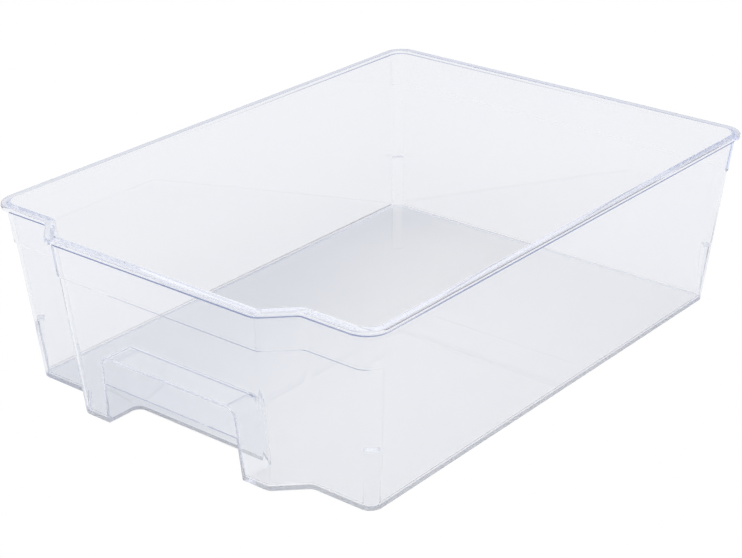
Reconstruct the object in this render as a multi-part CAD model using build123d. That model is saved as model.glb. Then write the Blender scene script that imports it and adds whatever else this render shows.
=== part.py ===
from build123d import *
import math
import os

# One clear moulded bin: drafted shell, rim flange, stepped band under the rim, handle panel
# standing out of the front wall with a finger pocket in it, and a nesting rib in each corner.
# Frame: millimetres, +Z up, the front (handle) faces -Y, the origin is on the underside at the
# middle of the overall box.

# Driving sizes
height = 105.0              # underside to rim top
rim_width = 259.0           # across the rim flange, left to right
rim_depth = 352.5           # over the rim flange, front to back, without the handle panel
panel_projection = 15.5     # the handle panel stands out this far from the front wall
wall = 1.7
floor_thickness = 1.8
side_draft = 4.8            # degrees, left and right walls
end_draft = 6.3             # degrees, front and back walls
base_corner_radius = 7.5    # outside, the four upright corners at the underside
rim_corner_radius = 10.5    # the same corners at the rim, under the flange

# Rim flange
flange_overhang = 2.6
flange_thickness = 2.6
flange_top_round = 1.0
flange_under_bevel = 0.7

# Stepped band under the rim, on the front and back walls only
band_step = 1.4             # the band stands out this far
band_drop = 22.5            # rim top to the middle of the step
band_slope_height = 1.2     # the step's own height

# Handle panel and finger pocket
pocket_width = 95.0         # clear, at the underside
pocket_height = 40.7        # underside to the pocket's ceiling
pocket_depth = 22.1         # panel front to the pocket's back wall
pocket_side_draft = 2.5     # degrees
pocket_round = 5.0          # clear edges of the ceiling and of the back corners
opening_height = 24.8       # finger gap below the hanging lip
foot_width = 17.1           # panel foot on each side of the pocket, at the underside
panel_flare = 5.5           # the panel grows this much on each side from underside to rim
panel_round = 6.0           # outside bends of the panel's slanted ends

# Nesting ribs
rib_height = 35.0
rib_width = 7.6
rib_proud = 0.8             # rib face in front of the corner's curve, at the floor
rib_draft = 1.0             # degrees
rib_round = 0.6

# Small rounds
base_round = 1.0
floor_round_share = 0.6     # floor round, as a share of the panel's tightest inside bend
cut_margin = 2.0            # cutting solids run this far past what they cut

# Worked-out sizes
side_slope = math.tan(math.radians(side_draft))
end_slope = math.tan(math.radians(end_draft))
pocket_slope = math.tan(math.radians(pocket_side_draft))
rib_slope = math.tan(math.radians(rib_draft))
base_half_width = rim_width / 2 - flange_overhang - height * side_slope
base_half_depth = rim_depth / 2 - flange_overhang - band_step - height * end_slope
panel_base_half = pocket_width / 2 + foot_width
bend_share = math.tan(math.radians(45 / 2))
floor_round = floor_round_share * (panel_round - wall)
step_low = height - band_drop - band_slope_height / 2
step_high = step_low + band_slope_height
centre_y = panel_projection / 2


def corner_round(z):
    return base_corner_radius + (rim_corner_radius - base_corner_radius) * z / height


def outline(z, step, inset):
    """Plan of the shell at height z, moved inwards by inset."""
    half_x = base_half_width + z * side_slope - inset
    half_y = base_half_depth + z * end_slope + step - inset
    panel_x = panel_base_half + z * panel_flare / height - bend_share * inset
    front_y = -half_y - panel_projection
    corners = [
        (half_x, half_y),
        (-half_x, half_y),
        (-half_x, -half_y),
        (-panel_x - panel_projection, -half_y),
        (-panel_x, front_y),
        (panel_x, front_y),
        (panel_x + panel_projection, -half_y),
        (half_x, -half_y),
    ]
    plan = make_face(Polyline(*corners, close=True))
    upright = [v for v in plan.vertices() if abs(v.X) > half_x - corner_round(z) / 2]
    plan = fillet(upright, corner_round(z) - inset)
    outer_bends = [v for v in plan.vertices() if abs(v.Y - front_y) < panel_projection / 4]
    plan = fillet(outer_bends, panel_round - inset)
    inner_x = panel_x + panel_projection
    inner_bends = [
        v for v in plan.vertices()
        if abs(abs(v.X) - inner_x) < panel_projection / 4 and abs(v.Y + half_y) < panel_projection / 4
    ]
    plan = fillet(inner_bends, panel_round + inset)
    return Pos(0, centre_y, z) * plan


def shell_loft(bottom, top, inset):
    """Drafted solid between two heights, with the step of the band under the rim."""
    return loft(
        [
            outline(bottom, 0, inset),
            outline(step_low, 0, inset),
            outline(step_high, band_step, inset),
            outline(top, band_step, inset),
        ],
        ruled=True,
    )


def panel_front(z):
    return centre_y - base_half_depth - panel_projection - z * end_slope


def pocket_section(z, grow, front_gap, depth):
    """Plan of the finger pocket at height z, from front_gap behind the panel's front to depth."""
    half_x = pocket_width / 2 - z * pocket_slope + grow
    middle = panel_front(z) + (front_gap + depth) / 2
    return Pos(0, middle, z) * Rectangle(2 * half_x, depth - front_gap)


def pocket_block(grow, bottom, front_gap):
    """The finger pocket, or with grow its outside; rounded where ceiling, sides and back meet."""
    top = pocket_height + grow
    depth = pocket_depth + grow
    block = loft([
        pocket_section(bottom, grow, front_gap, depth),
        pocket_section(top, grow, front_gap, depth),
    ])
    back = block.faces().sort_by(Axis.Y)[-1]
    ceiling = block.faces().sort_by(Axis.Z)[-1]
    low_edge = block.faces().sort_by(Axis.Z)[0].edges().sort_by(Axis.Y)[-1]
    front_edge = ceiling.edges().sort_by(Axis.Y)[0]
    rounded = [e for e in back.edges() if abs(e.center().Z - low_edge.center().Z) > wall]
    rounded += [
        e for e in ceiling.edges()
        if abs(e.center().Y - front_edge.center().Y) > wall and abs(e.center().X) > wall
    ]
    return fillet(rounded, pocket_round + grow)


# The shell, solid first
outside = shell_loft(0, height, 0)
outside = fillet(outside.edges().group_by(Axis.Z)[0], base_round)
flange = extrude(outline(height, band_step, -flange_overhang), amount=-flange_thickness)
flange = fillet(flange.edges().group_by(Axis.Z)[-1], flange_top_round)
flange = chamfer(flange.edges().group_by(Axis.Z)[0], flange_under_bevel)

# The room inside, less the walls of the finger pocket
room = shell_loft(floor_thickness, height + cut_margin, wall)
room = fillet(room.edges().group_by(Axis.Z)[0], floor_round)
pocket_walls = pocket_block(wall, 0, -cut_margin)
body = outside + flange - (room - pocket_walls)

# The finger pocket: open below, and open to the front under the hanging lip
pocket = pocket_block(0, -cut_margin, wall)
opening = loft([
    pocket_section(-cut_margin, 0, -cut_margin, wall + cut_margin),
    pocket_section(opening_height, 0, -cut_margin, wall + cut_margin),
])
body = body - pocket - opening

# Nesting ribs, one across each corner: drawn along +X from the corner curve's centre, then turned
floor_curve = corner_round(floor_thickness)
curve_x = base_half_width + floor_thickness * side_slope - floor_curve
curve_y = base_half_depth + floor_thickness * end_slope - floor_curve
rib_face = floor_curve - wall - rib_proud
rib_rise = rib_height - floor_thickness
rib_plan = Pos(rib_face + rib_height / 2, 0) * Rectangle(rib_height, rib_width)
rib = loft([rib_plan, Pos(rib_rise * rib_slope, 0, rib_rise) * rib_plan])
rib = fillet(rib.faces().sort_by(Axis.X)[0].edges().filter_by(Axis.Y, reverse=True), rib_round)
for side in (-1, 1):
    for end in (-1, 1):
        turn = math.degrees(math.atan2(end, side))
        placed = Pos(side * curve_x, centre_y + end * curve_y, floor_thickness) * Rot(0, 0, turn) * rib
        body = body + (placed & outside)

os.makedirs("parts", exist_ok=True)
export_step(body, "parts/bin.step")
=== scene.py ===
import math

import bmesh
import bpy
from mathutils import Matrix, Vector


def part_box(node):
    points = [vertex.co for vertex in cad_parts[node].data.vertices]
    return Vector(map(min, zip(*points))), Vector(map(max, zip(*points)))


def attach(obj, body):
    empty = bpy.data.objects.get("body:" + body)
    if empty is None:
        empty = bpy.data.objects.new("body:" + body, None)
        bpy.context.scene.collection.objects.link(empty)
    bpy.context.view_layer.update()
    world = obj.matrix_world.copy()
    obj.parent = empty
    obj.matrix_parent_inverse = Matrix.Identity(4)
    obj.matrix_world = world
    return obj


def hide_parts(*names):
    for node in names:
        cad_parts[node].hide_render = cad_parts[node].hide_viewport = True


bl_info = {
    "name": "Refrigerator Organizer Bin",
    "version": (1, 0, 0),
    "blender": (4, 5, 0),
    "location": "View3D > Sidebar > Organizer Bin",
    "description": "Clear moulded bin with a pull handle, on a white studio sweep",
    "category": "Object",
}

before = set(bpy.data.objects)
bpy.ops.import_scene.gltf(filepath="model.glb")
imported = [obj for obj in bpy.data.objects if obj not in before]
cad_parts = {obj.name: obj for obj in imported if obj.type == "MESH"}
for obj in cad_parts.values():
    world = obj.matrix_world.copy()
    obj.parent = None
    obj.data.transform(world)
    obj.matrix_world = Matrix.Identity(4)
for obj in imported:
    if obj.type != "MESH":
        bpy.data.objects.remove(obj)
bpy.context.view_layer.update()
BIN_NODE = "bin"
IMAGE_WIDTH = 742
SENSOR_WIDTH = 36.0    # millimetres
LIGHT_BOUNCES = 64     # clear plates guide light over many bounces
CORNER_STEPS = 10      # facets in each rounded corner of the plan
ROUND_STEPS = 4        # facets in each rounded edge
CUT_MARGIN = 0.002     # cutting blocks run this far past what they cut
RIB_SINK = 0.8         # share of the wall's thickness that lies behind a rib's block
STEP_RISE = 0.00005    # rise of the band's step, so that no face lies level
FACE_WEIGHT = 100      # how strongly the large faces rule the normals
BEND_SHARE = math.tan(math.pi / 8)    # shift of a 45 degree bend, as a share of the inset

# A block's corners are 0 to 3 round its bottom and 4 to 7 above them, from the pocket's front left or a rib's face
BLOCK_FACES = ((3, 2, 1, 0), (4, 5, 6, 7), (0, 1, 5, 4), (1, 2, 6, 5), (2, 3, 7, 6), (3, 0, 4, 7))
POCKET_ROUNDS = ((2, 6), (3, 7), (6, 7), (5, 6), (4, 7))    # back corners, ceiling to back and to sides
RIB_ROUNDS = ((0, 4), (3, 7), (4, 7))                       # sides and top of a rib's face

# Patterns of the plastic and blend of the studio
FLOW_DETAIL = 2.0
HANDLING_DETAIL = 5.0
HANDLING_GRAIN = 0.65        # weight of the finer patches
HAZE_RANGE = (0.45, 0.75)    # pattern values between which polish turns to haze
SIDE_BLEND = 0.4             # half of the blend between the studio's bright and dim sides


class ClearPlasticSettings(bpy.types.PropertyGroup):
    """Finish of the clear plastic."""

    ior: bpy.props.FloatProperty(
        name="IOR", description="Refractive index of the plastic", default=1.57, min=1.0, max=2.0)
    tint_clear: bpy.props.FloatVectorProperty(
        name="Clear tint", description="Colour of the clearest plastic",
        subtype="COLOR", default=(0.985, 0.988, 0.996), min=0.0, max=1.0)
    tint_cloudy: bpy.props.FloatVectorProperty(
        name="Cloudy tint", description="Colour of the faintly clouded flow of the plastic",
        subtype="COLOR", default=(0.972, 0.976, 0.988), min=0.0, max=1.0)
    absorb_color: bpy.props.FloatVectorProperty(
        name="Edge colour", description="What long paths inside the plastic turn to",
        subtype="COLOR", default=(0.0, 0.05, 0.35), min=0.0, max=1.0)
    absorb_density: bpy.props.FloatProperty(
        name="Edge density", description="How fast light is taken up, per metre", default=1.2, min=0.0)
    # Painted light: the plastic's body glows by an emission, which stands in for light scattered along it and
    # lightens its edges.
    edge_glow_color: bpy.props.FloatVectorProperty(
        name="Edge glow colour", description="Colour of the light that the plastic scatters along its length",
        subtype="COLOR", default=(0.79, 0.84, 1.0), min=0.0, max=1.0)
    edge_glow: bpy.props.FloatProperty(
        name="Edge glow", description="Strength of that scattered light, per metre", default=1.9, min=0.0)
    clarity: bpy.props.FloatProperty(
        name="Clarity", description="Share of light that passes; the rest is a faint milky haze",
        default=0.95, min=0.0, max=1.0)
    polish: bpy.props.FloatProperty(
        name="Polish", description="Roughness of the best polished places", default=0.012, min=0.0, max=1.0)
    haze: bpy.props.FloatProperty(
        name="Haze", description="Roughness of the lightly handled places", default=0.05, min=0.0, max=1.0)
    scuff: bpy.props.FloatProperty(
        name="Scuff", description="Roughness of the underside, rubbed matt by shelves",
        default=0.3, min=0.0, max=1.0)
    scuff_depth: bpy.props.FloatProperty(
        name="Scuff depth", description="Height above the underside that is rubbed matt",
        unit="LENGTH", default=0.0003, precision=5)
    flow_size: bpy.props.FloatProperty(
        name="Flow size", description="Length of the waves left by the flow in the mould",
        unit="LENGTH", default=0.055, min=0.001)
    flow_height: bpy.props.FloatProperty(
        name="Flow height", description="Height of those waves", unit="LENGTH", default=0.00005, min=0.0)
    handling_size: bpy.props.FloatProperty(
        name="Handling size", description="Size of the patches of haze",
        unit="LENGTH", default=0.018, min=0.001)


def length(name, description, value):
    """A length setting, in metres."""
    return bpy.props.FloatProperty(
        name=name, description=description, unit="LENGTH", default=value, precision=5)


def angle(name, description, degrees):
    """An angle setting."""
    return bpy.props.FloatProperty(
        name=name, description=description, subtype="ANGLE", default=math.radians(degrees))


class BinSettings(bpy.types.PropertyGroup):
    """Sizes of the bin; its overall width, depth and height come from the frame."""

    wall: length("Wall", "Thickness of the walls", 0.0017)
    floor: length("Floor", "Thickness of the floor", 0.0018)
    side_draft: angle("Side draft", "Lean of the left and right walls", 4.8)
    end_draft: angle("End draft", "Lean of the front and back walls", 6.3)
    base_corner: length("Base corner", "Radius of the upright corners at the underside", 0.0075)
    rim_corner: length("Rim corner", "Radius of the upright corners at the rim", 0.0105)
    base_round: length("Base round", "Round of the underside's edge", 0.0006)
    floor_round: length("Floor round", "Round where the floor meets the walls", 0.0026)
    overhang: length("Overhang", "How far the rim flange stands out", 0.0026)
    flange: length("Flange", "Thickness of the rim flange", 0.0026)
    flange_top_round: length("Flange top round", "Round of the flange's upper edge", 0.0008)
    flange_under_round: length("Flange under round", "Round of the flange's lower edge", 0.0001)
    rim_round: length("Rim round", "Round of the rim's inner edge", 0.00015)
    band_step: length("Band step", "How far the band under the rim stands out, front and back", 0.0014)
    band_drop: length("Band drop", "Rim top to the band's step", 0.0225)
    projection: length("Projection", "How far the handle panel stands out", 0.0155)
    panel_flare: length("Panel flare", "Growth of the panel on each side, underside to rim", 0.0055)
    panel_round: length("Panel round", "Bends of the panel's slanted ends", 0.006)
    foot: length("Foot", "Panel foot on each side of the pocket", 0.0171)
    pocket_width: length("Pocket width", "Clear width of the finger pocket at the underside", 0.095)
    pocket_height: length("Pocket height", "Underside to the pocket's ceiling", 0.0407)
    pocket_depth: length("Pocket depth", "Panel front to the pocket's back", 0.0221)
    pocket_draft: angle("Pocket draft", "Lean of the pocket's sides", 2.5)
    pocket_round: length("Pocket round", "Round of the pocket's ceiling and back corners", 0.005)
    opening: length("Opening", "Height of the finger gap under the lip", 0.0248)
    rib_height: length("Rib height", "Underside to the top of the corner ribs", 0.035)
    rib_width: length("Rib width", "Width of the corner ribs", 0.0076)
    rib_proud: length("Rib proud", "Rib face in front of the corner's curve, at the floor", 0.0014)
    rib_draft: angle("Rib draft", "Lean of the ribs' faces", 1.0)
    rib_round: length("Rib round", "Round of the ribs' edges", 0.0007)
    crease: angle("Crease angle", "Edges that turn more than this stay crisp", 32.0)


class StageSettings(bpy.types.PropertyGroup):
    """Floor, light and camera."""

    floor_span: bpy.props.FloatProperty(
        name="Floor span", description="Side of the square floor", unit="LENGTH", default=14.0)
    floor_drop: bpy.props.FloatProperty(
        name="Floor drop", description="Air between the underside and the floor",
        unit="LENGTH", default=0.0004)
    floor_color: bpy.props.FloatVectorProperty(
        name="Floor colour", description="Colour of the floor",
        subtype="COLOR", default=(0.93, 0.935, 0.95), min=0.0, max=1.0)
    floor_seen: bpy.props.FloatVectorProperty(
        name="Floor seen", description="The white that the plastic shows of the floor",
        subtype="COLOR", default=(0.885, 0.89, 0.915), min=0.0, max=1.0)
    # Painted shadow: the sheet under the bin shows the plastic a soft shade, darker and bluer at its left end and
    # near white at its right; the camera sees it white.
    under_shade_left: bpy.props.FloatVectorProperty(
        name="Pad left", description="Left end of the light pad that the bin stands on",
        subtype="COLOR", default=(0.8, 0.825, 0.885), min=0.0, max=1.0)
    under_shade_right: bpy.props.FloatVectorProperty(
        name="Pad right", description="Right end of the light pad that the bin stands on",
        subtype="COLOR", default=(0.94, 0.95, 0.975), min=0.0, max=1.0)
    floor_shade: bpy.props.FloatProperty(
        name="Floor shade", description="Share of the floor's own light and shade seen through the plastic",
        default=0.1, min=0.0, max=1.0)
    # The turn and the fade place the edge of that painted shadow under the bin.
    under_shade_turn: bpy.props.FloatProperty(
        name="Pad turn", description="Turn of the pad's fade from the back towards the right",
        subtype="ANGLE", default=math.radians(70.0))
    under_shade_fade: bpy.props.FloatVectorProperty(
        name="Pad fade", description="Where the fade starts and ends, from the pad's middle", size=2,
        unit="LENGTH", default=(-0.08, 0.0))
    near_color: bpy.props.FloatVectorProperty(
        name="Near wall", description="Light from the studio's bright side, in front and to the right",
        subtype="COLOR", default=(0.95, 0.955, 0.97), min=0.0, max=1.0)
    far_color: bpy.props.FloatVectorProperty(
        name="Far wall", description="Light from the studio's dim side, behind and to the left",
        subtype="COLOR", default=(0.14, 0.19, 0.40), min=0.0, max=1.0)
    far_turn: bpy.props.FloatProperty(
        name="Far turn", description="Turn of the dim side from the back towards the left",
        subtype="ANGLE", default=math.radians(39.0))
    far_spread: bpy.props.FloatProperty(
        name="Far spread", description="How far the bright side reaches round, from -1 to 1", default=0.4,
        min=-1.0, max=1.0)
    sweep_edge: bpy.props.FloatProperty(
        name="Sweep edge", description="Height angle that the white sweep reaches behind the bin",
        subtype="ANGLE", default=math.radians(9.0))
    ceiling_edge: bpy.props.FloatProperty(
        name="Ceiling edge", description="Height angle of the bright ceiling's edge",
        subtype="ANGLE", default=math.radians(22.2))
    edge_blur: bpy.props.FloatProperty(
        name="Edge blur", description="Half of the soft edge of the ceiling and of the sweep",
        subtype="ANGLE", default=math.radians(1.2))
    ceiling_color: bpy.props.FloatVectorProperty(
        name="Ceiling", description="Light from above", subtype="COLOR",
        default=(0.90, 0.905, 0.92), min=0.0, max=1.0)
    key_power: bpy.props.FloatProperty(
        name="Key light", description="Power of the large soft light", unit="POWER", default=18.0)
    key_size: bpy.props.FloatProperty(
        name="Key size", description="Side of the large soft light", unit="LENGTH", default=1.6)
    key_place: bpy.props.FloatVectorProperty(
        name="Key place", description="Where the large soft light hangs", subtype="TRANSLATION",
        unit="LENGTH", default=(0.9, -0.9, 1.2))
    camera_azimuth: bpy.props.FloatProperty(
        name="Azimuth", description="Camera's turn from the front towards the right",
        subtype="ANGLE", default=math.radians(38.986))
    camera_elevation: bpy.props.FloatProperty(
        name="Elevation", description="Camera's height angle", subtype="ANGLE", default=math.radians(24.204))
    camera_roll: bpy.props.FloatProperty(
        name="Roll", description="Camera's turn about its own axis",
        subtype="ANGLE", default=math.radians(-0.02))
    camera_distance: bpy.props.FloatProperty(
        name="Distance", description="Camera to the point that it looks at", unit="LENGTH", default=1.10114)
    camera_aim: bpy.props.FloatVectorProperty(
        name="Aim", description="The point that the camera looks at", subtype="TRANSLATION", unit="LENGTH",
        default=(-0.0213, 0.00929, 0.03252), precision=5)
    camera_lens: bpy.props.FloatProperty(
        name="Lens", description="Focal length on the sensor's width", unit="CAMERA", default=92.2)
    camera_shift: bpy.props.FloatVectorProperty(
        name="Shift", description="The lens's shift as a share of the image's width", size=2,
        default=(11.42 / IMAGE_WIDTH, -6.723 / IMAGE_WIDTH), precision=5)


def clear_plastic_material(look):
    """Polished clear plastic: glass-like, bluish along its edges by absorption and by a painted glow in its body,
    with faint flow waves and haze.
    """
    material = bpy.data.materials.new("clear_plastic")
    material.use_nodes = True
    tree = material.node_tree
    nodes, links = tree.nodes, tree.links
    shader = nodes["Principled BSDF"]
    output = nodes["Material Output"]
    shader.inputs["IOR"].default_value = look.ior
    side = nodes.new("ShaderNodeNewGeometry")
    clarity = nodes.new("ShaderNodeMapRange")
    clarity.inputs["To Min"].default_value = look.clarity
    clarity.inputs["To Max"].default_value = 1.0
    links.new(side.outputs["Backfacing"], clarity.inputs["Value"])
    links.new(clarity.outputs["Result"], shader.inputs["Transmission Weight"])

    place = nodes.new("ShaderNodeTexCoord")
    flow = nodes.new("ShaderNodeTexNoise")
    flow.inputs["Scale"].default_value = 1.0 / look.flow_size
    flow.inputs["Detail"].default_value = FLOW_DETAIL
    links.new(place.outputs["Object"], flow.inputs["Vector"])
    cloud = nodes.new("ShaderNodeMix")
    cloud.data_type = "RGBA"
    cloud.inputs["A"].default_value = (*look.tint_clear, 1.0)
    cloud.inputs["B"].default_value = (*look.tint_cloudy, 1.0)
    links.new(flow.outputs["Fac"], cloud.inputs["Factor"])
    links.new(cloud.outputs["Result"], shader.inputs["Base Color"])

    handling = nodes.new("ShaderNodeTexNoise")
    handling.inputs["Scale"].default_value = 1.0 / look.handling_size
    handling.inputs["Detail"].default_value = HANDLING_DETAIL
    handling.inputs["Roughness"].default_value = HANDLING_GRAIN
    links.new(place.outputs["Object"], handling.inputs["Vector"])
    haze = nodes.new("ShaderNodeMapRange")
    haze.inputs["From Min"].default_value = HAZE_RANGE[0]
    haze.inputs["From Max"].default_value = HAZE_RANGE[1]
    haze.inputs["To Min"].default_value = look.polish
    haze.inputs["To Max"].default_value = look.haze
    links.new(handling.outputs["Fac"], haze.inputs["Value"])
    skin = nodes.new("ShaderNodeMix")
    links.new(side.outputs["Backfacing"], skin.inputs["Factor"])
    links.new(haze.outputs["Result"], skin.inputs["A"])
    skin.inputs["B"].default_value = 0.0
    axes = nodes.new("ShaderNodeSeparateXYZ")
    links.new(place.outputs["Object"], axes.inputs["Vector"])
    underside = nodes.new("ShaderNodeMath")
    underside.operation = "LESS_THAN"
    underside.inputs[1].default_value = look.scuff_depth
    links.new(axes.outputs["Z"], underside.inputs[0])
    rubbed = nodes.new("ShaderNodeMix")
    links.new(underside.outputs["Value"], rubbed.inputs["Factor"])
    links.new(skin.outputs["Result"], rubbed.inputs["A"])
    rubbed.inputs["B"].default_value = look.scuff
    links.new(rubbed.outputs["Result"], shader.inputs["Roughness"])

    waves = nodes.new("ShaderNodeBump")
    waves.inputs["Strength"].default_value = 1.0
    waves.inputs["Distance"].default_value = look.flow_height
    links.new(flow.outputs["Fac"], waves.inputs["Height"])
    links.new(waves.outputs["Normal"], shader.inputs["Normal"])

    body = nodes.new("ShaderNodeVolumeAbsorption")
    body.inputs["Color"].default_value = (*look.absorb_color, 1.0)
    body.inputs["Density"].default_value = look.absorb_density
    # Painted light: the body's emission glows more along long paths, as at the edges, in place of light scattered
    # along the plastic.
    painted_glow = nodes.new("ShaderNodeEmission")
    painted_glow.inputs["Color"].default_value = (*look.edge_glow_color, 1.0)
    painted_glow.inputs["Strength"].default_value = look.edge_glow
    depth = nodes.new("ShaderNodeAddShader")
    links.new(body.outputs["Volume"], depth.inputs[0])
    links.new(painted_glow.outputs["Emission"], depth.inputs[1])
    links.new(depth.outputs["Shader"], output.inputs["Volume"])
    return material


def seen_through_glass(tree):
    """Light Path outputs: 1 for camera rays, and 1 for rays that a clear piece bends or mirrors."""
    path = tree.nodes.new("ShaderNodeLightPath")
    either = tree.nodes.new("ShaderNodeMath")
    either.operation = "MAXIMUM"
    tree.links.new(path.outputs["Is Glossy Ray"], either.inputs[0])
    tree.links.new(path.outputs["Is Transmission Ray"], either.inputs[1])
    return path.outputs["Is Camera Ray"], either.outputs["Value"]


def floor_material(name, stage, left, right):
    """White floor: white to the camera, a fade between two given colours to the plastic, and matt white to all
    else; on the sheet under the bin that fade is a painted shadow, darker and bluer to the left.
    """
    material = bpy.data.materials.new(name)
    material.use_nodes = True
    tree = material.node_tree
    nodes, links = tree.nodes, tree.links
    nodes.remove(nodes["Principled BSDF"])
    matt = nodes.new("ShaderNodeBsdfDiffuse")
    matt.inputs["Color"].default_value = (*stage.floor_color, 1.0)
    camera_ray, glass_ray = seen_through_glass(tree)
    shade = nodes.new("ShaderNodeMath")
    shade.operation = "MULTIPLY"
    shade.inputs[1].default_value = 1.0 - stage.floor_shade
    links.new(glass_ray, shade.inputs[0])
    place = nodes.new("ShaderNodeTexCoord")
    # Fade between the two colours; on the sheet under the bin this is a painted shadow.
    along = nodes.new("ShaderNodeVectorMath")
    along.operation = "DOT_PRODUCT"
    along.inputs[1].default_value = (math.sin(stage.under_shade_turn), math.cos(stage.under_shade_turn), 0.0)
    links.new(place.outputs["Object"], along.inputs[0])
    across = nodes.new("ShaderNodeMapRange")
    across.inputs["From Min"].default_value = stage.under_shade_fade[0]
    across.inputs["From Max"].default_value = stage.under_shade_fade[1]
    links.new(along.outputs["Value"], across.inputs["Value"])
    tone = nodes.new("ShaderNodeMix")
    tone.data_type = "RGBA"
    tone.inputs["A"].default_value = (*left, 1.0)
    tone.inputs["B"].default_value = (*right, 1.0)
    links.new(across.outputs["Result"], tone.inputs["Factor"])
    glow = nodes.new("ShaderNodeEmission")
    links.new(tone.outputs["Result"], glow.inputs["Color"])
    lit = nodes.new("ShaderNodeMixShader")
    links.new(shade.outputs["Value"], lit.inputs["Fac"])
    links.new(matt.outputs["BSDF"], lit.inputs[1])
    links.new(glow.outputs["Emission"], lit.inputs[2])
    white = nodes.new("ShaderNodeEmission")
    pick = nodes.new("ShaderNodeMixShader")
    links.new(camera_ray, pick.inputs["Fac"])
    links.new(lit.outputs["Shader"], pick.inputs[1])
    links.new(white.outputs["Emission"], pick.inputs[2])
    links.new(pick.outputs["Shader"], nodes["Material Output"].inputs["Surface"])
    return material


def studio_world(stage):
    """A bright studio with a dim bluish band behind, between sweep and ceiling, and white to the camera."""
    world = bpy.data.worlds.new("studio")
    world.use_nodes = True
    tree = world.node_tree
    nodes, links = tree.nodes, tree.links
    background = nodes["Background"]
    place = nodes.new("ShaderNodeTexCoord")
    behind = nodes.new("ShaderNodeVectorMath")
    behind.operation = "DOT_PRODUCT"
    behind.inputs[1].default_value = (-math.sin(stage.far_turn), math.cos(stage.far_turn), 0.0)
    links.new(place.outputs["Generated"], behind.inputs[0])
    away = nodes.new("ShaderNodeMapRange")
    away.interpolation_type = "SMOOTHSTEP"
    away.inputs["From Min"].default_value = stage.far_spread - SIDE_BLEND
    away.inputs["From Max"].default_value = stage.far_spread + SIDE_BLEND
    links.new(behind.outputs["Value"], away.inputs["Value"])
    walls = nodes.new("ShaderNodeMix")
    walls.data_type = "RGBA"
    walls.inputs["A"].default_value = (*stage.near_color, 1.0)
    walls.inputs["B"].default_value = (*stage.far_color, 1.0)
    links.new(away.outputs["Result"], walls.inputs["Factor"])
    axes = nodes.new("ShaderNodeSeparateXYZ")
    links.new(place.outputs["Generated"], axes.inputs["Vector"])
    rise = nodes.new("ShaderNodeMapRange")
    rise.inputs["From Min"].default_value = math.sin(stage.ceiling_edge - stage.edge_blur)
    rise.inputs["From Max"].default_value = math.sin(stage.ceiling_edge + stage.edge_blur)
    links.new(axes.outputs["Z"], rise.inputs["Value"])
    sky = nodes.new("ShaderNodeMix")
    sky.data_type = "RGBA"
    sky.inputs["B"].default_value = (*stage.ceiling_color, 1.0)
    links.new(walls.outputs["Result"], sky.inputs["A"])
    links.new(rise.outputs["Result"], sky.inputs["Factor"])
    low = nodes.new("ShaderNodeMapRange")
    low.inputs["From Min"].default_value = math.sin(stage.sweep_edge - stage.edge_blur)
    low.inputs["From Max"].default_value = math.sin(stage.sweep_edge + stage.edge_blur)
    links.new(axes.outputs["Z"], low.inputs["Value"])
    sweep = nodes.new("ShaderNodeMix")
    sweep.data_type = "RGBA"
    sweep.inputs["A"].default_value = (*stage.near_color, 1.0)
    links.new(sky.outputs["Result"], sweep.inputs["B"])
    links.new(low.outputs["Result"], sweep.inputs["Factor"])
    links.new(sweep.outputs["Result"], background.inputs["Color"])
    path = nodes.new("ShaderNodeLightPath")
    white = nodes.new("ShaderNodeBackground")
    white.inputs["Color"].default_value = (1.0, 1.0, 1.0, 1.0)
    pick = nodes.new("ShaderNodeMixShader")
    links.new(path.outputs["Is Camera Ray"], pick.inputs["Fac"])
    links.new(background.outputs["Background"], pick.inputs[1])
    links.new(white.outputs["Background"], pick.inputs[2])
    links.new(pick.outputs["Shader"], nodes["World Output"].inputs["Surface"])
    return world


def only(piece):
    """Selects this object alone."""
    bpy.ops.object.select_all(action="DESELECT")
    piece.select_set(True)
    bpy.context.view_layer.objects.active = piece


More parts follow.
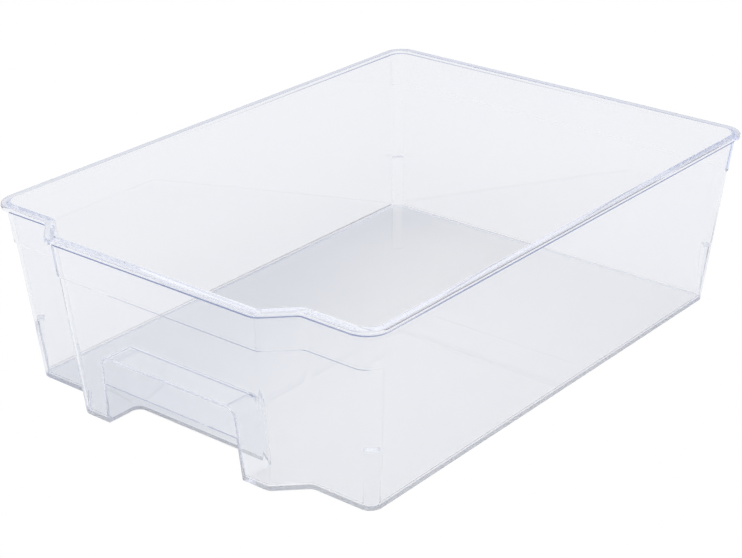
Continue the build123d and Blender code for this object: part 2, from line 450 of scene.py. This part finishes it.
class BinShape:
    """The bin's sizes worked out from the settings and the frame's box, and the plans drawn from them."""

    def __init__(self, size, box):
        self.size = size
        low, high = box
        self.middle = Vector(((low[0] + high[0]) / 2, (low[1] + high[1] + size.projection) / 2))
        self.height = high[2]
        self.side_slope = math.tan(size.side_draft)
        self.end_slope = math.tan(size.end_draft)
        reach = size.overhang + size.band_step
        self.half_width = (high[0] - low[0]) / 2 - size.overhang - self.height * self.side_slope
        self.half_depth = (high[1] - low[1] - size.projection) / 2 - reach - self.height * self.end_slope
        self.panel_half = size.pocket_width / 2 + size.foot
        self.step = self.height - size.band_drop

    def corner_round(self, z):
        """Radius of the upright corners at height z."""
        size = self.size
        return size.base_corner + (size.rim_corner - size.base_corner) * z / self.height

    def panel_front(self, z):
        """Where the handle panel's front is at height z."""
        return self.middle.y - self.half_depth - self.size.projection - z * self.end_slope

    def plan(self, z, step, inset):
        """Points round the bin at height z, moved inwards by inset."""
        size = self.size
        x = self.half_width + z * self.side_slope - inset
        y = self.half_depth + z * self.end_slope + step - inset
        panel = self.panel_half + z * size.panel_flare / self.height - BEND_SHARE * inset
        upright = self.corner_round(z) - inset
        outer_bend = size.panel_round - inset
        inner_bend = size.panel_round + inset
        half = [
            (panel, -y - size.projection, outer_bend),
            (panel + size.projection, -y, inner_bend),
            (x, -y, upright),
            (x, y, upright),
        ]
        mirrored = [(-px, py, radius) for px, py, radius in reversed(half)]
        return [self.middle + point for point in rounded(half + mirrored)]

    def rings(self):
        """Height, plan height, step and inset of each ring: up the outside, over the rim, down the inside."""
        size, top = self.size, self.height
        under = top - size.flange
        rings = []
        for rise, run in quarter():
            rings.append((size.base_round * (1 - run), None, 0.0, size.base_round * (1 - rise)))
        rings.append((self.step, None, 0.0, 0.0))
        rings.append((self.step + STEP_RISE, None, size.band_step, 0.0))
        rings.append((under, None, size.band_step, 0.0))
        for rise, run in quarter():
            out = size.overhang - size.flange_under_round * (1 - rise)
            rings.append((under + size.flange_under_round * (1 - run), top, size.band_step, -out))
        for rise, run in quarter():
            out = size.overhang - size.flange_top_round * (1 - run)
            rings.append((top - size.flange_top_round * (1 - rise), top, size.band_step, -out))
        for rise, run in quarter():
            inset = size.wall - size.rim_round * (1 - rise)
            rings.append((top - size.rim_round * (1 - run), None, 0.0, inset))
        for rise, run in quarter():
            inset = size.wall + size.floor_round * (1 - run)
            rings.append((size.floor + size.floor_round * (1 - rise), None, 0.0, inset))
        return rings


def quarter():
    """Sine and cosine along a quarter turn."""
    turns = [math.pi / 2 * step / ROUND_STEPS for step in range(ROUND_STEPS + 1)]
    return [(math.sin(turn), math.cos(turn)) for turn in turns]


def rounded(corners):
    """Points of a closed outline whose corners (x, y, radius) are rounded."""
    points = []
    places = [Vector((x, y)) for x, y, radius in corners]
    for index, corner in enumerate(places):
        radius = corners[index][2]
        last = (places[index - 1] - corner).normalized()
        following = (places[(index + 1) % len(places)] - corner).normalized()
        half = last.angle(following) / 2
        centre = corner + (last + following).normalized() * radius / math.sin(half)
        start = corner + last * radius / math.tan(half) - centre
        sweep = math.copysign(math.pi - 2 * half, following.cross(last))
        for step in range(CORNER_STEPS + 1):
            points.append(centre + Matrix.Rotation(sweep * step / CORNER_STEPS, 2) @ start)
    return points


def shell_object(shape):
    """The shell: rings joined by faces, closed by the underside and the floor."""
    loops = []
    for z, plan_z, step, inset in shape.rings():
        plan = shape.plan(z if plan_z is None else plan_z, step, inset)
        loops.append([(point.x, point.y, z) for point in plan])
    count = len(loops[0])
    faces = [tuple(reversed(range(count)))]
    for ring in range(len(loops) - 1):
        for point in range(count):
            following = (point + 1) % count
            low, high = ring * count, (ring + 1) * count
            faces.append((low + point, low + following, high + following, high + point))
    faces.append(tuple(range((len(loops) - 1) * count, len(loops) * count)))
    mesh = bpy.data.meshes.new("clear_bin")
    mesh.from_pydata([point for loop in loops for point in loop], [], faces)
    shell = bpy.data.objects.new("clear_bin", mesh)
    bpy.context.scene.collection.objects.link(shell)
    return shell


def block_object(bottom, top, rounded_edges, radius):
    """A block between four points below and four above, with some of its edges rounded."""
    shape = bmesh.new()
    corners = [shape.verts.new(point) for point in (*bottom, *top)]
    for face in BLOCK_FACES:
        shape.faces.new([corners[index] for index in face])
    if rounded_edges:
        edges = [shape.edges.get((corners[a], corners[b])) for a, b in rounded_edges]
        bmesh.ops.bevel(
            shape, geom=edges, offset=radius, offset_type="OFFSET", segments=2 * ROUND_STEPS,
            profile=0.5, affect="EDGES")
    mesh = bpy.data.meshes.new("block")
    shape.to_mesh(mesh)
    shape.free()
    block = bpy.data.objects.new("block", mesh)
    bpy.context.scene.collection.objects.link(block)
    return block


def pocket_block(shape, grow, heights, depths, is_round):
    """The finger pocket between two heights and two depths behind the panel's front, grown by grow."""
    size = shape.size
    rows = []
    for z in heights:
        half = size.pocket_width / 2 - z * math.tan(size.pocket_draft) + grow
        front, back = (shape.panel_front(z) + depth for depth in depths)
        rows.append([(-half, front, z), (half, front, z), (half, back, z), (-half, back, z)])
    return block_object(*rows, POCKET_ROUNDS if is_round else (), size.pocket_round + grow)


def rib_block(shape, side, end):
    """A nesting rib across one corner, sunk a little into the wall."""
    size = shape.size
    across = Vector((side, end)).normalized()
    along = Vector((-across.y, across.x)) * size.rib_width / 2
    start = None
    rows = []
    for z in (size.floor / 2, size.rib_height):
        curve = shape.corner_round(z)
        x = shape.half_width + z * shape.side_slope - curve
        y = shape.half_depth + z * shape.end_slope - curve
        centre = shape.middle + Vector((side * x, end * y))
        if start is None:
            start = centre + across * (curve - size.wall - size.rib_proud)
        face = start + across * (z * math.tan(size.rib_draft))
        back = centre + across * (curve - RIB_SINK * size.wall)
        plan = [face - along, back - along, back + along, face + along]
        rows.append([(point.x, point.y, z) for point in plan])
    return block_object(*rows, RIB_ROUNDS, size.rib_round)


def combine(shell, tool, operation):
    """Adds a block to the shell or cuts it out."""
    modifier = shell.modifiers.new("combine", "BOOLEAN")
    modifier.operation = operation
    modifier.solver = "EXACT"
    modifier.object = tool
    only(shell)
    bpy.ops.object.modifier_apply(modifier=modifier.name)
    bpy.data.objects.remove(tool)


class ORGANIZER_OT_clear_bin(bpy.types.Operator):
    """Make the clear bin: shell, finger pocket and corner ribs, with smooth rounds and crisp edges"""

    bl_idname = "organizer.clear_bin"
    bl_label = "Clear bin"

    def execute(self, context):
        size = context.scene.organizer_bin
        shape = BinShape(size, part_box(BIN_NODE))
        shell = shell_object(shape)
        walls = pocket_block(
            shape, size.wall, (size.floor / 2, size.pocket_height + size.wall),
            (size.wall / 2, size.pocket_depth + size.wall), True)
        combine(shell, walls, "UNION")
        pocket = pocket_block(
            shape, 0.0, (-CUT_MARGIN, size.pocket_height),
            (size.wall, size.pocket_depth), True)
        combine(shell, pocket, "DIFFERENCE")
        gap = pocket_block(
            shape, 0.0, (-CUT_MARGIN, size.opening),
            (-CUT_MARGIN, size.wall + CUT_MARGIN), False)
        combine(shell, gap, "DIFFERENCE")
        for side in (-1, 1):
            for end in (-1, 1):
                combine(shell, rib_block(shape, side, end), "UNION")
        bpy.ops.object.shade_smooth_by_angle(angle=size.crease)
        even = shell.modifiers.new("even_normals", "WEIGHTED_NORMAL")
        even.mode = "FACE_AREA"
        even.weight = FACE_WEIGHT
        even.keep_sharp = True
        bpy.ops.object.modifier_apply(modifier=even.name)
        shell.data.materials.clear()
        shell.data.materials.append(clear_plastic_material(context.scene.organizer_plastic))
        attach(shell, "root")
        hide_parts(BIN_NODE)
        return {"FINISHED"}


class ORGANIZER_OT_stage(bpy.types.Operator):
    """Set out the white floor, a sheet of painted shadow under the bin, the studio, the soft light and the camera
    """

    bl_idname = "organizer.stage"
    bl_label = "Stage"

    def execute(self, context):
        scene = context.scene
        stage = scene.organizer_stage
        bpy.ops.object.select_all(action="DESELECT")
        bpy.ops.mesh.primitive_plane_add(size=stage.floor_span, location=(0.0, 0.0, -stage.floor_drop))
        floor = context.object
        floor.name = "floor"
        floor.data.materials.append(floor_material("floor_white", stage, stage.floor_seen, stage.floor_seen))

        shape = BinShape(scene.organizer_bin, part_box(BIN_NODE))
        depth = 2 * shape.half_depth + shape.size.projection
        middle = shape.middle - Vector((0.0, shape.size.projection / 2))
        # Painted shadow: a sheet over the bin's footprint that the plastic sees as a soft shade, darker and bluer
        # to the left.
        bpy.ops.mesh.primitive_plane_add(size=1.0, location=(*middle, -stage.floor_drop / 2))
        shade_sheet = context.object
        shade_sheet.name = "painted_under_shade"
        shade_sheet.dimensions = (2 * shape.half_width, depth, 0.0)
        bpy.ops.object.transform_apply(location=False, rotation=False, scale=True)
        shade_sheet.data.materials.append(floor_material("painted_under_shade", stage, stage.under_shade_left, stage.under_shade_right))

        scene.world = studio_world(stage)
        place = Vector(stage.key_place)
        bpy.ops.object.light_add(type="AREA", location=place)
        key = context.object
        key.name = "key_light"
        key.data.shape = "SQUARE"
        key.data.size = stage.key_size
        key.data.energy = stage.key_power
        key.visible_glossy = False
        key.visible_transmission = False
        key.rotation_euler = place.to_track_quat("Z", "Y").to_euler()

        azimuth, elevation = stage.camera_azimuth, stage.camera_elevation
        back = Vector((
            math.sin(azimuth) * math.cos(elevation),
            -math.cos(azimuth) * math.cos(elevation),
            math.sin(elevation),
        ))
        level = Vector((math.cos(azimuth), math.sin(azimuth), 0.0))
        turn = Matrix.Rotation(stage.camera_roll, 3, back)
        right = turn @ level
        up = back.cross(right)
        bpy.ops.object.camera_add()
        camera = context.object
        camera.name = "camera"
        pose = Matrix((right, up, back)).transposed().to_4x4()
        pose.translation = Vector(stage.camera_aim) + back * stage.camera_distance
        camera.matrix_world = pose
        camera.data.sensor_width = SENSOR_WIDTH
        camera.data.lens = stage.camera_lens
        camera.data.shift_x, camera.data.shift_y = stage.camera_shift
        camera.data.clip_end = 2.0 * stage.floor_span
        scene.camera = camera
        scene.view_settings.view_transform = "Standard"
        scene.cycles.max_bounces = LIGHT_BOUNCES
        scene.cycles.transmission_bounces = LIGHT_BOUNCES
        scene.cycles.glossy_bounces = LIGHT_BOUNCES
        return {"FINISHED"}


class ORGANIZER_PT_sidebar(bpy.types.Panel):
    """Lists the steps and settings of the organizer bin"""

    bl_idname = "ORGANIZER_PT_sidebar"
    bl_label = "Organizer Bin"
    bl_space_type = "VIEW_3D"
    bl_region_type = "UI"
    bl_category = "Organizer Bin"

    def draw(self, context):
        layout = self.layout
        for operator in OPERATORS:
            layout.operator(operator.bl_idname)
        for group in SETTINGS:
            box = layout.box()
            settings = getattr(context.scene, group)
            for name in settings.__annotations__:
                box.prop(settings, name)


SETTINGS = {
    "organizer_plastic": ClearPlasticSettings,
    "organizer_bin": BinSettings,
    "organizer_stage": StageSettings,
}
OPERATORS = (ORGANIZER_OT_clear_bin, ORGANIZER_OT_stage)
CLASSES = (*SETTINGS.values(), *OPERATORS, ORGANIZER_PT_sidebar)


def register():
    for cls in CLASSES:
        bpy.utils.register_class(cls)
    for name, group in SETTINGS.items():
        setattr(bpy.types.Scene, name, bpy.props.PointerProperty(type=group))


def unregister():
    for name in SETTINGS:
        delattr(bpy.types.Scene, name)
    for cls in reversed(CLASSES):
        bpy.utils.unregister_class(cls)


def main():
    register()
    bpy.ops.organizer.clear_bin()
    bpy.ops.organizer.stage()


if __name__ == "__main__":
    main()
